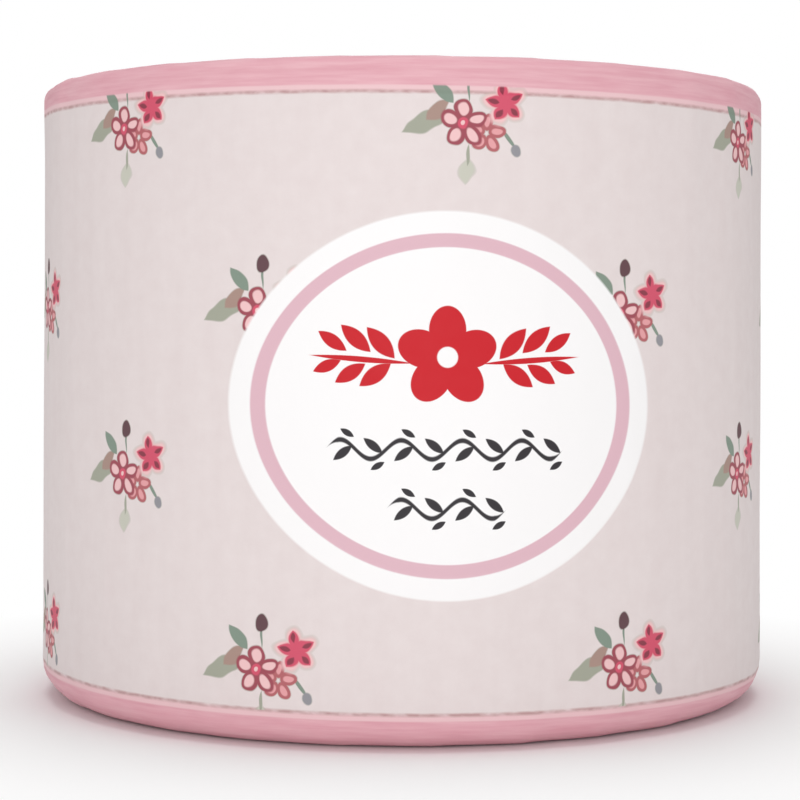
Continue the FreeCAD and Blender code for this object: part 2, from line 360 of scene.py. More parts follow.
def overturned(rows):
    """Rows of a top as those of the base, from the shoulder to the tucked edge."""
    return [row._replace(height=BASE - row.height, out_z=-row.out_z) for row in reversed(rows)]


def side_rows(high, low, radius, count):
    """Rows straight down the side, between two heights and without them."""
    return [Row(None, 0.0, radius, blend(high, low, n / count), 1.0, 0.0) for n in range(1, count)]


def lap_heading(sizes):
    """Heading of the lap's free edge, just past the back."""
    return -math.pi + 0.5 * sizes.lap_width / ROLL_RADIUS


def around(heading, scale):
    """A place on a circle, for noise that meets itself after a full turn."""
    return Vector((math.sin(heading), math.cos(heading), 0.0)) * scale


class Sheet:
    """The wrapping sheet's points, row by row down its outer side and back up its inner side.

    Along is a place round the roll, in pleats from the lap's free edge.
    """

    def __init__(self, sizes):
        self.sizes = sizes
        self.top = FoldedEnd(sizes, sizes.seed)
        self.base = FoldedEnd(sizes, sizes.seed + 1)
        steps = {n + share for n in range(sizes.pleats) for share in PLEAT_STEPS}
        self.columns = sorted(steps - {0.0} | {LAP_SHARE, float(sizes.pleats)})
        self.outer = self.section(False, OUTER_COUNTS, OUTER_SIDE_COUNT)
        self.inner = self.section(True, INNER_COUNTS, INNER_SIDE_COUNT)

    def section(self, inside, counts, side_count):
        """Every row down one side of the sheet."""
        sizes = self.sizes
        high = upright(end_rows(sizes, self.top, sizes.top_shoulder, inside, counts))
        low = overturned(end_rows(sizes, self.base, sizes.base_shoulder, inside, counts))
        radius = ROLL_RADIUS - (sizes.thickness if inside else 0.0)
        return high + side_rows(high[-1].height, low[0].height, radius, side_count) + low

    def sideness(self, row):
        """How far a row faces sideways: 1 on the roll's side and 0 on its ends."""
        if row.end is None:
            return 1.0
        return max(row.out_r, 0.0) if row.inward == 0.0 else 0.0

    def in_tuck(self, row):
        """How far a row has turned into the core, from 0 to 1."""
        return 1.0 if row.inward > 1.0 else max(-row.out_r, 0.0)

    def inset(self, row):
        """How far a row over an end lies inside the roll's full height."""
        return TOP - row.height if row.end is self.top else row.height - BASE

    def room(self, row):
        """The height there is for a pleat, below the roll's full height and outside its clear bore."""
        if row.end is None:
            return 0.0
        over_end = min(self.sizes.pleat_rise, max(self.inset(row) - CLEARANCE, 0.0))
        return blend(over_end, self.sizes.tuck_slack - CLEARANCE, self.in_tuck(row))

    def pleated(self, along, row):
        """Heading of a point and the height of its pleat."""
        if row.end is None:
            heading, up = along * FULL_TURN / self.sizes.pleats, 0.0
        else:
            heading, up = row.end.place(along, min(row.inward, 1.0), self.room(row))
        if along == LAP_SHARE:
            heading = blend(heading, LAP_EDGE_WIDTH / ROLL_RADIUS, self.sideness(row))
        return lap_heading(self.sizes) + heading, up

    def lap(self, along, row):
        """Height of the lap over the layer below it."""
        if along == LAP_SHARE:
            return 0.0
        distance = (self.sizes.pleats - along) * FULL_TURN / self.sizes.pleats * ROLL_RADIUS
        raised = smooth(self.sizes.lap_width - distance, 0.0, LAP_RAMP)
        return self.sizes.lap_step * raised * self.sideness(row)

    def ripples(self, row, heading):
        """Height of the soft ripples down the side."""
        share = RIPPLE_MIDDLE
        for often, tall, part, start in RIPPLES:
            place = around(heading, often) + Vector((start, 0.0, row.height / tall))
            share += part * noise.noise(place)
        return self.sizes.ripple * min(max(share, 0.0), 1.0) * self.sideness(row)

    def gathers(self, along, row):
        """Height of the small gathers that lead over each rim into the pleats."""
        height = 0.0
        for end, away in ((self.top, TOP - row.height), (self.base, row.height - BASE)):
            if row.end not in (None, end) or row.inward > RIM_REACH:
                continue
            near = (1 - smooth(away, *GATHER_FADE)) * (1 - smooth(row.inward, 0.0, RIM_REACH))
            height += self.sizes.gather * end.pucker(along) * near
        return height

    def point(self, along, row, inside):
        """Place of one point of the sheet."""
        heading, up = self.pleated(along, row)
        if inside:
            up = 0.0
        else:
            up += self.lap(along, row) + self.ripples(row, heading) + self.gathers(along, row)
        if abs(row.out_z) == 1.0:
            up = min(up, self.inset(row))
        height = row.height
        if row.inward > 1.0:
            deeper = (row.inward - 1.0) * (1 if row.end is self.top else -1)
            height += TUCK_WANDER * deeper * noise.noise(around(heading, TUCK_WAVES))
        radius = row.radius + row.out_r * up
        return radius * math.sin(heading), -radius * math.cos(heading), height + row.out_z * up

    def mesh(self, name):
        """The sheet as a closed mesh, with its flat map."""
        rows = [(row, False) for row in self.outer] + [(row, True) for row in reversed(self.inner)]
        points = [self.point(along, row, inside) for row, inside in rows for along in self.columns]
        flat = FlatMap(self, [row for row, _ in rows])
        across, down = len(self.columns), len(rows)
        faces, places = [], []
        for r in range(down):
            below = (r + 1) % down
            for c, start in enumerate(self.columns):
                beside = (c + 1) % across
                stop = self.columns[beside] + (self.sizes.pleats if beside == 0 else 0)
                patch = (r * across + c, below * across + c, below * across + beside, r * across + beside)
                spots = flat.face(r, start, stop)
                for half in PATCH_HALVES:
                    faces.append([patch[n] for n in half])
                    places += [spots[n] for n in half]
        mesh = bpy.data.meshes.new(name)
        mesh.from_pydata(points, [], faces)
        layer = mesh.uv_layers.new(name="OFBake")
        layer.uv.foreach_set("vector", [share for place in places for share in place])
        mesh.shade_smooth()
        mesh.set_sharp_from_angle(angle=math.radians(SHARP_ANGLE))
        return mesh


# The parts of the sheet that its rows pass, in their order
TOP_TUCK, TOP_END, SIDE, BASE_END, BASE_TUCK, INSIDE = range(6)

# Where each part lies on the square flat map. A half of the side or a strip has its left, bottom, width and
# height, and an end is a ring with its centre and radius. The mouth lies at a share of that radius.
FRONT_HALF = (0.02, 0.645, 0.96, 0.345)
BACK_HALF = (0.02, 0.285, 0.96, 0.345)
RINGS = {TOP_END: (0.14, 0.138, 0.13), BASE_END: (0.41, 0.138, 0.13)}
STRIPS = {
    TOP_TUCK: (0.56, 0.19, 0.42, 0.07),
    BASE_TUCK: (0.56, 0.1, 0.42, 0.07),
    INSIDE: (0.56, 0.01, 0.42, 0.07),
}
MOUTH_SHARE = 0.38


class FlatMap:
    """Lays the sheet out flat: its side as two halves, its ends as rings and the rest as strips."""

    def __init__(self, sheet, rows):
        tuck, mouth, end, _ = OUTER_COUNTS
        last = len(sheet.outer) - 1
        rim = tuck + mouth + end - 1
        self.sheet = sheet
        self.breaks = [0, tuck, rim, last - rim, last - tuck, last, len(rows)]
        self.lengths = [0.0]
        for row, after in zip(rows, rows[1:] + rows[:1]):
            gap = math.hypot(after.radius - row.radius, after.height - row.height)
            self.lengths.append(self.lengths[-1] + gap)

    def face(self, r, start, stop):
        """Where the corners of a face lie. It runs from row r to the next, and from start to stop along."""
        part = sum(r >= place for place in self.breaks) - 1
        low, high = self.lengths[self.breaks[part]], self.lengths[self.breaks[part + 1]]
        near, far = ((self.lengths[row] - low) / (high - low) for row in (r, r + 1))
        middle = (start + stop) / 2
        corners = ((near, start), (far, start), (far, stop), (near, stop))
        return [self.place(part, share, along, middle) for share, along in corners]

    def place(self, part, share, along, middle):
        """Place of a point in a part, a share of the way down it."""
        turn = along / self.sheet.sizes.pleats
        if part == SIDE:
            return self.on_side(share, turn, middle)
        if part == TOP_END:
            return on_ring(RINGS[part], blend(MOUTH_SHARE, 1.0, share), turn)
        if part == BASE_END:
            return on_ring(RINGS[part], blend(1.0, MOUTH_SHARE, share), -turn)
        left, bottom, width, height = STRIPS[part]
        return left + width * turn, bottom + height * (1 - share)

    def on_side(self, share, turn, middle):
        """Place of a point on the roll's side, in the half where its face has its middle."""
        first = lap_heading(self.sheet.sizes) / FULL_TURN
        middle_turn = first + middle / self.sheet.sizes.pleats
        in_front = abs(middle_turn) < 0.25
        left, bottom, width, height = FRONT_HALF if in_front else BACK_HALF
        from_left = 2 * (first + turn) + (0.5 if in_front else -0.5)
        if not in_front and middle_turn < 0:
            from_left += 2.0
        return left + width * from_left, bottom + height * (1 - share)


def on_ring(ring, away, turn):
    """A point on a ring of the flat map, away from its centre as a share of its radius."""
    across, up, radius = ring
    heading = turn * FULL_TURN
    return across + radius * away * math.cos(heading), up + radius * away * math.sin(heading)


# Nodes


class Graph:
    """Adds nodes to one tree and links them. Its methods give back the new node's output."""

    def __init__(self, tree):
        self.tree = tree

    def feed(self, socket, value):
        """Links a socket to another, or sets its value."""
        if isinstance(value, bpy.types.NodeSocket):
            self.tree.links.new(value, socket)
        else:
            socket.default_value = value

    def node(self, kind, inputs=None, **settings):
        """A new node, with its settings made and its inputs fed."""
        node = self.tree.nodes.new(kind)
        for name, value in settings.items():
            setattr(node, name, value)
        for name, value in (inputs or {}).items():
            self.feed(node.inputs[name], value)
        return node

    def math(self, operation, *values, clamp=False):
        """A number worked out from others. With clamp it stays between 0 and 1."""
        inputs = dict(enumerate(values))
        return self.node("ShaderNodeMath", inputs, operation=operation, use_clamp=clamp).outputs[0]

    def times(self, value, factor):
        """One number times another."""
        return self.math("MULTIPLY", value, factor)

    def minus(self, value, other):
        """One number less another."""
        return self.math("SUBTRACT", value, other)

    def scaled(self, value, factor, offset, clamp=False):
        """A number times a factor, plus an offset."""
        return self.math("MULTIPLY_ADD", value, factor, offset, clamp=clamp)

    def past_half(self, value):
        """How far a number's fraction is past one half."""
        return self.minus(self.math("FRACT", value), 0.5)

    def within(self, value, limit, soft):
        """1 where a value is below its limit and 0 above it, with a soft edge."""
        return self.scaled(value, -1 / soft, limit / soft + 0.5, clamp=True)

    def union(self, *masks):
        """1 wherever one of several masks is."""
        joined = masks[0]
        for mask in masks[1:]:
            joined = self.math("MAXIMUM", joined, mask)
        return joined

    def mix(self, low, high, share):
        """A colour that lies that share of the way from one to another."""
        inputs = {0: share, 6: opaque(low), 7: opaque(high)}
        return self.node("ShaderNodeMix", inputs, data_type="RGBA").outputs[2]

    def noise(self, place, scale, detail=2.0, rough=0.5):
        """A soft random value from 0 to 1."""
        inputs = {"Vector": place, "Scale": scale, "Detail": detail, "Roughness": rough}
        return self.node("ShaderNodeTexNoise", inputs).outputs["Fac"]

    def vector(self, x, y, z=0.0):
        """A vector made of three numbers."""
        return self.node("ShaderNodeCombineXYZ", {0: x, 1: y, 2: z}).outputs[0]

    def parts(self, vector):
        """The three numbers of a vector."""
        return self.node("ShaderNodeSeparateXYZ", {0: vector}).outputs

    def vectors(self, operation, first, second):
        """A vector worked out from two others."""
        return self.node("ShaderNodeVectorMath", {0: first, 1: second}, operation=operation).outputs[0]

    def enlarged(self, vector, scale):
        """A vector made that many times as long."""
        return self.node("ShaderNodeVectorMath", {0: vector, 3: scale}, operation="SCALE").outputs[0]

    def length(self, vector):
        """How long a vector is."""
        return self.node("ShaderNodeVectorMath", {0: vector}, operation="LENGTH").outputs["Value"]

    def local(self, place, centre, turn=0.0, size=(1.0, 1.0)):
        """A place as seen from a shape's own centre, turned by degrees and scaled with the shape."""
        inputs = {
            "Vector": place,
            "Location": (*centre, 0.0),
            "Rotation": (0.0, 0.0, math.radians(turn)),
            "Scale": (*size, 1.0),
        }
        return self.node("ShaderNodeMapping", inputs, vector_type="TEXTURE").outputs[0]

    def oval(self, place, centre, size, turn=0.0, soft=0.3):
        """1 in an oval and 0 round it. soft is the share of its size over which it fades."""
        return self.within(self.length(self.local(place, centre, turn, size)), 1.0, soft)

    def leaf(self, place, centre, size, turn=0.0, soft=0.3):
        """1 in a leaf that is pointed at both ends and 0 round it."""
        x, y, _ = self.parts(self.local(place, centre, turn, size))
        return self.within(self.scaled(x, x, self.math("ABSOLUTE", y)), 1.0, soft)

    def petals(self, place, centre, turn=0.0, count=5):
        """A place as seen from the nearest petal of a blossom: X runs out from the blossom's centre."""
        local = self.local(place, centre, turn)
        x, y, _ = self.parts(local)
        petal = self.scaled(self.math("ARCTAN2", y, x), count / FULL_TURN, 0.5)
        heading = self.times(self.past_half(petal), FULL_TURN / count)
        away = self.length(local)
        out = self.times(away, self.math("COSINE", heading))
        return self.vector(out, self.times(away, self.math("SINE", heading)))


def opaque(value):
    """A colour with its fourth number, or the socket as it is."""
    return value if isinstance(value, bpy.types.NodeSocket) else (*value, 1.0)


SOCKETS = {"value": "NodeSocketFloat", "colour": "NodeSocketColor", "place": "NodeSocketVector"}


def new_group(name, inputs, outputs):
    """A shader node group with named sockets: its tree, its graph, and the sockets inside it."""
    tree = bpy.data.node_groups.new(name, "ShaderNodeTree")
    for socket, kind, default in inputs:
        made = tree.interface.new_socket(socket, in_out="INPUT", socket_type=SOCKETS[kind])
        if default is not None:
            made.default_value = default
    for socket, kind in outputs:
        tree.interface.new_socket(socket, in_out="OUTPUT", socket_type=SOCKETS[kind])
    graph = Graph(tree)
    return tree, graph, graph.node("NodeGroupInput").outputs, graph.node("NodeGroupOutput").inputs


def use_group(graph, tree, inputs):
    """Outputs of a group placed in another tree."""
    node = graph.node("ShaderNodeGroup", node_tree=tree)
    for name, value in inputs.items():
        graph.feed(node.inputs[name], value)
    return node.outputs


# Sizes of the fibres' patterns, as repeats for each millimetre at a fineness of 1
MOTTLE_SCALE = 0.35
STREAK_SCALE = 1.0
GRAIN_SCALE = 5.0
STREAK_SHARE = 0.6


def fibre_group():
    """Fibres: soft mottling and drawn-out streaks, in colour and in height."""
    inputs = [("Place", "place", None), ("Fineness", "value", 1.0), ("Streak", "place", (1.0, 1.0, 1.0))]
    outputs = [("Mottle", "value"), ("Streaks", "value"), ("Height", "value")]
    tree, g, given, out = new_group("Fibres", inputs, outputs)
    place = g.enlarged(given["Place"], given["Fineness"])
    drawn_out = g.vectors("MULTIPLY", place, given["Streak"])
    streaks = g.noise(drawn_out, STREAK_SCALE, 3.0, 0.55)
    grain = g.noise(place, GRAIN_SCALE, 3.0, 0.7)
    g.feed(out["Mottle"], g.noise(place, MOTTLE_SCALE, 4.0, 0.6))
    g.feed(out["Streaks"], streaks)
    g.feed(out["Height"], g.scaled(streaks, STREAK_SHARE, g.times(grain, 1 - STREAK_SHARE)))
    return tree


# The print, in millimetres on the sheet. Across is from the front's middle and up is from the base.

# The print falls to the right by this slope
PRINT_SKEW = math.tan(math.radians(0.35))

# The bands at both rims, the pinstripes inside them, and how both are streaked and broken
BAND_HEIGHT = 4.6
BAND_STREAK = (0.09, 1.3)
PINSTRIPE_AT = 5.55
PINSTRIPE_WIDTH = 0.5
PINSTRIPE_BREAK = 0.5

# The sprigs' spacing, the first one's centre, and how the rows between are shifted
SPRIG_ACROSS = 55.3
SPRIG_UP = 26.0
SPRIG_START = (9.4, 12.4)
SPRIG_STAGGER = 0.456
SPRIG_RAISE = 1.2

# The three blossoms' centres in a sprig, how far its outlines stray, and how well its ink covers
MAIN_BLOSSOM = (-0.7, -1.1)
SIDE_BLOSSOM = (2.7, -2.5)
STAR_BLOSSOM = (5.4, 2.0)
SPRIG_STRAY = (0.9, -0.8)
SPRIG_STRAY_SCALE = 0.4
SPRIG_COVER = 0.94

# The oval label and its ring, as half widths and half heights. The easing, for each square millimetre from
# its middle, widens both sideways, and holds as far as the reach.
LABEL_CENTRE = (6.5, 49.9)
LABEL_SIZE = (30.1, 28.0)
LABEL_EASE = 7.2e-5
LABEL_REACH = 40.0
RING_SIZE = (27.3, 24.8)
RING_WIDTH = 2.0
MIDDLE = (0.0, 0.0)

# The label's red blossom, and the leaves on each of its twigs: their centres, half sizes and turns
RED_BLOSSOM = (0.0, 7.0)
TWIG_LEAVES = [
    ((9.6, 9.0), (3.0, 1.25), 48),
    ((13.2, 9.6), (2.9, 1.15), 42),
    ((16.6, 9.2), (2.5, 0.95), 34),
    ((10.4, 4.4), (2.8, 1.15), -36),
    ((14.0, 4.6), (2.6, 1.05), -32),
    ((17.4, 5.6), (2.2, 0.85), -22),
]

# The label's two vines: each one's height and its half waves to either side, and the bends of both
VINES = ((-6.3, 4), (-14.8, 2))
VINE_STEP = 4.4
VINE_SWING = 1.35
VINE_HALF_WIDTH = 0.36
VINE_TAPER = 1.1


def sprig_group(inks):
    """One sprig of flowers, drawn from its back to its front: its colours and where its ink lies."""
    inputs = [("Place", "place", None)]
    tree, g, given, out = new_group("Sprig", inputs, [("Colour", "colour"), ("Cover", "value")])
    stray = g.minus(g.noise(given["Place"], SPRIG_STRAY_SCALE, 0.0), 0.5)
    slip = g.vector(*(g.times(stray, reach) for reach in SPRIG_STRAY))
    place = g.vectors("ADD", given["Place"], slip)
    side = g.petals(place, SIDE_BLOSSOM, 10)
    star = g.petals(place, STAR_BLOSSOM, 28)
    main = g.petals(place, MAIN_BLOSSOM, 18)
    shapes = [
        (inks.leaf, g.leaf(place, (-6.2, -1.0), (3.7, 1.35), 24, 0.2)),
        (inks.leaf_tan, g.leaf(place, (-4.3, 0.8), (2.3, 0.95), 44)),
        (inks.leaf_shade, g.leaf(place, (-3.6, 3.4), (2.4, 0.95), 132, 0.2)),
        (inks.leaf_shade, g.leaf(place, (6.0, -3.2), (2.2, 0.3), 128, 0.4)),
        (inks.berry, g.oval(place, (7.1, -4.9), (0.7, 0.85))),
        (inks.leaf_pale, g.leaf(place, (-0.3, -7.9), (1.9, 1.25), 84, 0.4)),
        (inks.leaf, g.leaf(place, (-0.1, -5.6), (1.6, 0.3), 86, 0.4)),
        (inks.leaf_shade, g.leaf(place, (0.1, 3.9), (2.0, 0.2), 92, 0.5)),
        (inks.bud, g.oval(place, (0.0, 5.7), (1.0, 1.35), -8, 0.2)),
        (inks.side_blossom, g.oval(side, (1.6, 0.0), (1.3, 1.0), 0, 0.2)),
        (inks.side_fill, g.oval(side, (1.6, 0.0), (0.75, 0.48))),
        (inks.blossom_fill, g.oval(star, (1.7, 0.0), (1.75, 1.25), 0, 0.5)),
        (inks.star, g.leaf(star, (1.4, 0.0), (1.55, 0.9))),
        (inks.star_heart, g.leaf(star, (1.8, 0.0), (0.8, 0.4), 0, 0.5)),
        (inks.blossom_line, g.oval(main, (2.0, 0.0), (1.6, 1.25), 0, 0.16)),
        (inks.blossom_fill, g.oval(main, (2.1, 0.0), (1.0, 0.68), 0, 0.25)),
        (inks.star, g.oval(main, MIDDLE, (0.85, 0.85), 0, 0.25)),
        (inks.blossom_fill, g.oval(main, MIDDLE, (0.36, 0.36), 0, 0.4)),
    ]
    drawn = shapes[0][0]
    for shade, mask in shapes[1:]:
        drawn = g.mix(drawn, shade, mask)
    g.feed(out["Colour"], drawn)
    g.feed(out["Cover"], g.times(g.union(*(mask for _, mask in shapes)), SPRIG_COVER))
    return tree


def vine(g, x, y, height, half_waves):
    """A level wavy stem that tapers to both ends, with two leaves in each bend."""
    step = g.math("DIVIDE", x, VINE_STEP)
    to_end = g.minus(half_waves, g.math("ABSOLUTE", step))
    from_level = g.minus(y, height)
    swing = g.times(g.math("SINE", g.times(step, math.pi)), VINE_SWING)
    half_width = g.math("MINIMUM", g.scaled(to_end, VINE_TAPER, -0.1), VINE_HALF_WIDTH)
    from_stem = g.math("ABSOLUTE", g.minus(from_level, swing))
    stem = g.within(g.minus(from_stem, half_width), 0.0, 0.2)

    # Every other bend is the first one upside down
    upright_bend = g.scaled(g.math("FLOORED_MODULO", g.math("FLOOR", step), 2.0), -2.0, 1.0)
    in_bend = g.vector(g.times(g.past_half(step), VINE_STEP), g.times(from_level, upright_bend))
    inner_leaf = g.leaf(in_bend, (0.35, -0.55), (1.75, 0.62), 38, 0.2)
    outer_leaf = g.leaf(in_bend, (1.0, 2.35), (1.15, 0.45), -30, 0.2)
    return g.times(g.union(stem, inner_leaf, outer_leaf), g.math("GREATER_THAN", to_end, 0.0))


def label_group(inks):
    """The oval label: white, a pink ring, a red blossom between two twigs, and two dark vines."""
    inputs = [("Place", "place", None)]
    tree, g, given, out = new_group("Label", inputs, [("Colour", "colour"), ("Cover", "value")])
    place = given["Place"]
    x, y, _ = g.parts(place)
    near = g.math("MAXIMUM", g.math("MINIMUM", x, LABEL_REACH), -LABEL_REACH)
    eased = g.vector(g.times(near, g.scaled(g.times(near, near), -LABEL_EASE, 1.0)), y)
    ring_inside = [half - RING_WIDTH for half in RING_SIZE]
    ring = g.math(
        "SUBTRACT",
        g.oval(eased, MIDDLE, RING_SIZE, 0, 0.008),
        g.oval(eased, MIDDLE, ring_inside, 0, 0.008),
        clamp=True,
    )
    petal = g.petals(place, RED_BLOSSOM, 90)
    either_side = g.vector(g.math("ABSOLUTE", x), y)
    red = g.union(
        g.oval(petal, (3.9, 0.0), (3.5, 2.7), 0, 0.04),
        g.oval(place, RED_BLOSSOM, (2.6, 2.6), 0, 0.04),
        g.leaf(either_side, (12.4, 6.6), (7.6, 0.42), 4, 0.2),
        *(g.leaf(either_side, centre, size, turn, 0.12) for centre, size, turn in TWIG_LEAVES),
    )
    drawn = g.mix(inks.label, inks.ring, ring)
    drawn = g.mix(drawn, inks.red, red)
    drawn = g.mix(drawn, inks.label, g.oval(place, RED_BLOSSOM, (1.5, 1.5), 0, 0.12))
    drawn = g.mix(drawn, inks.vine, g.union(*(vine(g, x, y, height, waves) for height, waves in VINES)))
    g.feed(out["Colour"], drawn)
    g.feed(out["Cover"], g.oval(eased, MIDDLE, LABEL_SIZE, 0, 0.012))
    return tree


def sprigs(g, inks, across, up):
    """The sprigs, in rows that are staggered from one to the next: their colours and where they lie."""
    step = g.math("DIVIDE", g.minus(up, SPRIG_START[1] - SPRIG_UP / 2), SPRIG_UP)
    between = g.math("FLOORED_MODULO", g.math("FLOOR", step), 2.0)
    stagger = g.scaled(between, -SPRIG_STAGGER, SPRIG_STAGGER)
    column = g.minus(g.math("DIVIDE", g.minus(across, SPRIG_START[0]), SPRIG_ACROSS), stagger)
    x = g.times(g.past_half(g.math("ADD", column, 0.5)), SPRIG_ACROSS)
    y = g.scaled(between, -SPRIG_RAISE, g.times(g.past_half(step), SPRIG_UP))
    drawn = use_group(g, sprig_group(inks), {"Place": g.vector(x, y)})
    above_base = g.math("GREATER_THAN", up, PINSTRIPE_AT)
    return drawn["Colour"], g.times(drawn["Cover"], above_base)


# Materials

# Heights of the surfaces' relief
PAPER_RELIEF = 0.03 * MM
TISSUE_RELIEF = 0.12 * MM
BOARD_RELIEF = 0.08 * MM

# The spacing of the tissue's turns, its dots for each millimetre, and the board fibres' climb for a radian
TURN_SPACING = 0.35
DOT_SCALE = 0.42
BOARD_CLIMB = 14.6


def new_material(name):
    """A material, its graph and its shader, which has a weak gloss."""
    material = bpy.data.materials.new(name)
    material.use_nodes = True
    shader = material.node_tree.nodes["Principled BSDF"]
    shader.inputs["Specular IOR Level"].default_value = 0.3
    return material, Graph(material.node_tree), shader


def millimetres(graph):
    """The place on the piece, in millimetres."""
    return graph.enlarged(graph.node("ShaderNodeTexCoord").outputs["Object"], 1 / MM)


def polar(graph, place):
    """Heading from the front, radius and height of a place."""
    x, y, z = graph.parts(place)
    heading = graph.math("ARCTAN2", x, graph.times(y, -1.0))
    return heading, graph.length(graph.vector(x, y)), z


def bump(graph, shader, height, depth):
    """Raises the shader's surface by a height."""
    inputs = {"Height": height, "Distance": depth, "Strength": 1.0}
    graph.feed(shader.inputs["Normal"], graph.node("ShaderNodeBump", inputs).outputs["Normal"])


def bare_paper(g, inks, grain):
    """The unprinted paper's colour, with its clouds and streaks."""
    clouds = g.scaled(grain["Mottle"], 1.2, g.scaled(grain["Streaks"], 0.8, -0.6), clamp=True)
    return g.mix(inks.paper, inks.paper_shade, clouds)


def band_ink(g, inks, across, up):
    """The bands' colour, streaked along the rim."""
    along = g.vector(g.times(across, BAND_STREAK[0]), g.times(up, BAND_STREAK[1]))
    light = g.scaled(g.noise(along, 1.0, 3.0, 0.6), 2.6, -0.8, clamp=True)
    return g.mix(inks.band_shade, inks.band, light)


def pinstripe(g, across, up, from_rim):
    """Where the thin broken lines lie beside the bands."""
    breaks = g.noise(g.vector(g.times(across, PINSTRIPE_BREAK), up), 1.0)
    from_line = g.math("ABSOLUTE", g.minus(from_rim, PINSTRIPE_AT))
    line = g.within(from_line, PINSTRIPE_WIDTH / 2, 0.35)
    return g.times(line, g.scaled(breaks, 2.2, -0.35, clamp=True))


def printed_paper(inks, sizes, fibres):
    """The printed wrapping paper."""
    material, g, shader = new_material("Printed paper")
    heading, radius, height = polar(g, millimetres(g))
    first = lap_heading(sizes)
    across = g.times(g.math("WRAP", heading, first + FULL_TURN, first), ROLL_RADIUS / MM)
    up = g.scaled(across, PRINT_SKEW, height)
    sheet = g.vector(across, up)
    from_rim = g.math("MINIMUM", up, g.minus((TOP - BASE) / MM, up))
    over_end = g.within(radius, (ROLL_RADIUS - sizes.base_shoulder) / MM, 0.5)
    grain = use_group(g, fibres, {"Place": sheet, "Fineness": 1.0, "Streak": (0.3, 0.035, 1.0)})

    inked = bare_paper(g, inks, grain)
    inked = g.mix(inked, inks.gap, g.within(from_rim, PINSTRIPE_AT, 0.5))
    inked = g.mix(inked, inks.pinstripe, pinstripe(g, across, up, from_rim))
    inked = g.mix(inked, *sprigs(g, inks, across, up))
    band = g.union(g.within(from_rim, BAND_HEIGHT, 0.25), over_end)
    inked = g.mix(inked, band_ink(g, inks, across, up), band)
    label = use_group(g, label_group(inks), {"Place": g.local(sheet, LABEL_CENTRE)})
    label_cover = g.times(label["Cover"], g.minus(1.0, over_end))
    inked = g.mix(inked, label["Colour"], label_cover)

    g.feed(shader.inputs["Base Color"], inked)
    g.feed(shader.inputs["Roughness"], g.scaled(grain["Mottle"], 0.2, 0.48))
    bump(g, shader, grain["Height"], PAPER_RELIEF)
    return material


def tissue_material(colours, fibres):
    """Creped, embossed tissue, with its turns showing at the ends."""
    material, g, shader = new_material("Creped tissue")
    place = millimetres(g)
    heading, radius, _ = polar(g, place)
    grain = use_group(g, fibres, {"Place": place, "Fineness": 1.5, "Streak": (1.0, 1.0, 0.2)})
    spiral = g.scaled(heading, -TURN_SPACING / FULL_TURN, radius)
    turns = g.scaled(g.math("SINE", g.times(spiral, FULL_TURN / TURN_SPACING)), 0.5, 0.5)
    raised_turns = g.times(turns, 0.3)
    dots = g.node("ShaderNodeTexVoronoi", {"Vector": place, "Scale": DOT_SCALE, "Randomness": 0.15})
    shade = g.scaled(grain["Mottle"], 0.5, raised_turns, clamp=True)
    height = g.scaled(dots.outputs["Distance"], 0.6, g.math("ADD", grain["Height"], raised_turns))
    g.feed(shader.inputs["Base Color"], g.mix(colours.tissue, colours.tissue_shade, shade))
    g.feed(shader.inputs["Roughness"], 0.9)
    bump(g, shader, height, TISSUE_RELIEF)
    return material


def board_material(colours, fibres):
    """Grey-brown core board, its fibres wound on a slant."""
    material, g, shader = new_material("Core board")
    heading, _, up = polar(g, millimetres(g))
    wound = g.vector(g.scaled(heading, BOARD_CLIMB, up), g.scaled(heading, -BOARD_CLIMB, up))
    grain = use_group(g, fibres, {"Place": wound, "Fineness": 1.2, "Streak": (1.4, 0.06, 1.0)})
    shade = g.scaled(grain["Streaks"], 1.4, -0.3, clamp=True)
    g.feed(shader.inputs["Base Color"], g.mix(colours.board, colours.board_shade, shade))
    g.feed(shader.inputs["Roughness"], 0.85)
    bump(g, shader, grain["Height"], BOARD_RELIEF)
    return material


def fibres():
    """The fibre group, made once."""
    return bpy.data.node_groups.get("Fibres") or fibre_group()


def paint_node(name, material):
    """Gives a node of the frame a material, in the object's own slot."""
    node = frame["nodes"][name]
    if not node.material_slots:
        raise RuntimeError(f"{name} has no material slot")
    for place in node.material_slots:
        place.link = "OBJECT"
        place.material = material


# Stage

WHITE = (1.0, 1.0, 1.0, 1.0)
FLOOR_SIZE = 1.6
SHADOW_REACH = (0.062, 0.12)
LIGHT_SIZE = 0.7
NEAREST_SEEN = 0.01

# Each light's name, the setting that holds its power, and its place
LIGHTS = (
    ("front_light", "light_power", (-0.04, -0.98, 0.2)),
    ("top_light", "top_power", (0.0, 0.0, 1.1)),
    ("back_light", "back_power", (0.0, 1.0, 0.3)),
)


def new_floor(settings):
    """A level floor whose far part fades into the white surroundings."""
    mesh = bpy.data.meshes.new("floor")
    corners = [(x * FLOOR_SIZE, y * FLOOR_SIZE, 0.0) for x, y in ((-1, -1), (1, -1), (1, 1), (-1, 1))]
    mesh.from_pydata(corners, [], [(0, 1, 2, 3)])
    material, g, shader = new_material("Floor")
    g.feed(shader.inputs["Base Color"], opaque(settings.floor))
    g.feed(shader.inputs["Roughness"], 0.9)
    away = g.length(g.node("ShaderNodeTexCoord").outputs["Object"])
    near, far = SHADOW_REACH
    fade = g.math("DIVIDE", g.minus(away, near), far - near, clamp=True)
    glow = g.node("ShaderNodeEmission", {"Color": WHITE, "Strength": 1.0}).outputs[0]
    mixed = g.node("ShaderNodeMixShader", {0: fade, 1: shader.outputs[0], 2: glow}).outputs[0]
    g.feed(material.node_tree.nodes["Material Output"].inputs["Surface"], mixed)
    mesh.materials.append(material)
    return bpy.data.objects.new("floor", mesh)


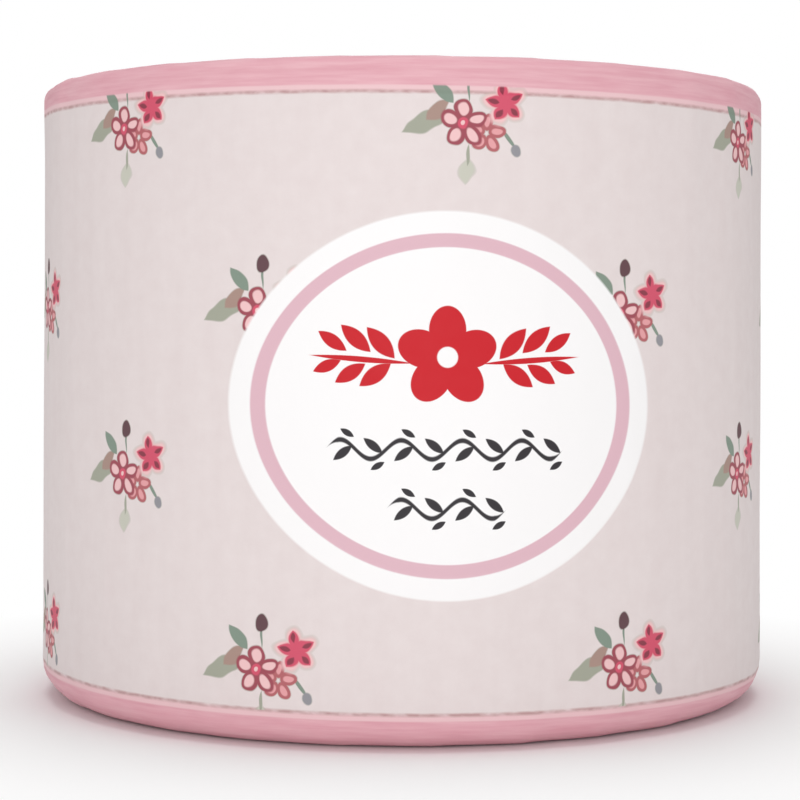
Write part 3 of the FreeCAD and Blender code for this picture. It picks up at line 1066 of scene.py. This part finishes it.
def new_light(name, power, place):
    """A broad soft light that points at the roll."""
    lamp = bpy.data.lights.new(name, "AREA")
    lamp.shape = "DISK"
    lamp.size = LIGHT_SIZE
    lamp.energy = power
    light = bpy.data.objects.new(name, lamp)
    light.location = place
    aim = Vector((0.0, 0.0, TOP / 2)) - light.location
    light.rotation_euler = aim.to_track_quat("-Z", "Y").to_euler()
    return light


def new_camera(settings):
    """The camera, level and in front of the printed label."""
    lens = bpy.data.cameras.new("camera")
    lens.lens = settings.lens
    lens.shift_x = settings.shift_x
    lens.shift_y = settings.shift_y
    lens.clip_start = NEAREST_SEEN
    camera = bpy.data.objects.new("camera", lens)
    camera.location = (0.0, -settings.distance, settings.eye_height)
    camera.rotation_euler = (math.radians(90), settings.roll, 0.0)
    return camera


def new_world(settings):
    """Even light from all round, which the camera sees as white."""
    world = bpy.data.worlds.new("surroundings")
    world.use_nodes = True
    g = Graph(world.node_tree)
    lit = world.node_tree.nodes["Background"]
    g.feed(lit.inputs["Color"], WHITE)
    g.feed(lit.inputs["Strength"], settings.ambient)
    seen = g.node("ShaderNodeBackground", {"Color": WHITE, "Strength": 1.0})
    ray = g.node("ShaderNodeLightPath").outputs["Is Camera Ray"]
    mixed = g.node("ShaderNodeMixShader", {0: ray, 1: lit.outputs[0], 2: seen.outputs[0]}).outputs[0]
    g.feed(world.node_tree.nodes["World Output"].inputs["Surface"], mixed)
    return world


# Operators


class BuildWrapper(bpy.types.Operator):
    """Builds the printed sheet that is wrapped, pleated and tucked round the roll"""

    bl_idname = "wrapped_roll.wrapper"
    bl_label = "Wrapper"

    def execute(self, context):
        sizes = context.scene.sheet_sizes
        sheet = bpy.data.objects.new("wrapper_sheet", Sheet(sizes).mesh("wrapper_sheet"))
        context.scene.collection.objects.link(sheet)
        sheet.data.materials.append(printed_paper(context.scene.print_colours, sizes, fibres()))
        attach(sheet, "root")
        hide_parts("wrapper")
        return {"FINISHED"}


class FinishTissue(bpy.types.Operator):
    """Gives the wound tissue its creped, embossed look"""

    bl_idname = "wrapped_roll.tissue"
    bl_label = "Tissue"

    def execute(self, context):
        paint_node("tissue_roll", tissue_material(context.scene.roll_colours, fibres()))
        return {"FINISHED"}


class FinishCore(bpy.types.Operator):
    """Gives the core its board look"""

    bl_idname = "wrapped_roll.core"
    bl_label = "Core"

    def execute(self, context):
        paint_node("core_tube", board_material(context.scene.roll_colours, fibres()))
        return {"FINISHED"}


class BuildStage(bpy.types.Operator):
    """Sets up the floor, the lights, the white surroundings and the camera"""

    bl_idname = "wrapped_roll.stage"
    bl_label = "Stage"

    def execute(self, context):
        settings = context.scene.stage_settings
        camera = new_camera(settings)
        lights = [new_light(name, getattr(settings, power), place) for name, power, place in LIGHTS]
        for thing in (new_floor(settings), *lights, camera):
            context.scene.collection.objects.link(thing)
        context.scene.camera = camera
        context.scene.world = new_world(settings)
        context.scene.view_settings.view_transform = "Standard"
        return {"FINISHED"}


# Panel

STEPS = (BuildWrapper, FinishTissue, FinishCore, BuildStage)
SETTINGS = (
    ("sheet_sizes", SheetSizes),
    ("print_colours", PrintColours),
    ("roll_colours", RollColours),
    ("stage_settings", StageSettings),
)


class RollPanel(bpy.types.Panel):
    """Lists the settings and the steps that build the roll."""

    bl_idname = "VIEW3D_PT_wrapped_roll"
    bl_label = "Wrapped roll"
    bl_space_type = "VIEW_3D"
    bl_region_type = "UI"
    bl_category = "Wrapped roll"

    def draw(self, context):
        for name, group in SETTINGS:
            box = self.layout.box()
            for setting in group.__annotations__:
                box.prop(getattr(context.scene, name), setting)
        for step in STEPS:
            self.layout.operator(step.bl_idname)


def register():
    """Adds the settings, the steps and the panel."""
    for name, group in SETTINGS:
        bpy.utils.register_class(group)
        setattr(bpy.types.Scene, name, bpy.props.PointerProperty(type=group))
    for entry in (*STEPS, RollPanel):
        bpy.utils.register_class(entry)


def unregister():
    """Removes what register added."""
    for entry in reversed((*STEPS, RollPanel)):
        bpy.utils.unregister_class(entry)
    for name, group in reversed(SETTINGS):
        delattr(bpy.types.Scene, name)
        bpy.utils.unregister_class(group)


def main():
    """Builds everything in order."""
    register()
    bpy.ops.wrapped_roll.wrapper()
    bpy.ops.wrapped_roll.tissue()
    bpy.ops.wrapped_roll.core()
    bpy.ops.wrapped_roll.stage()
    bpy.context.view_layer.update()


if __name__ == "__main__":
    main()
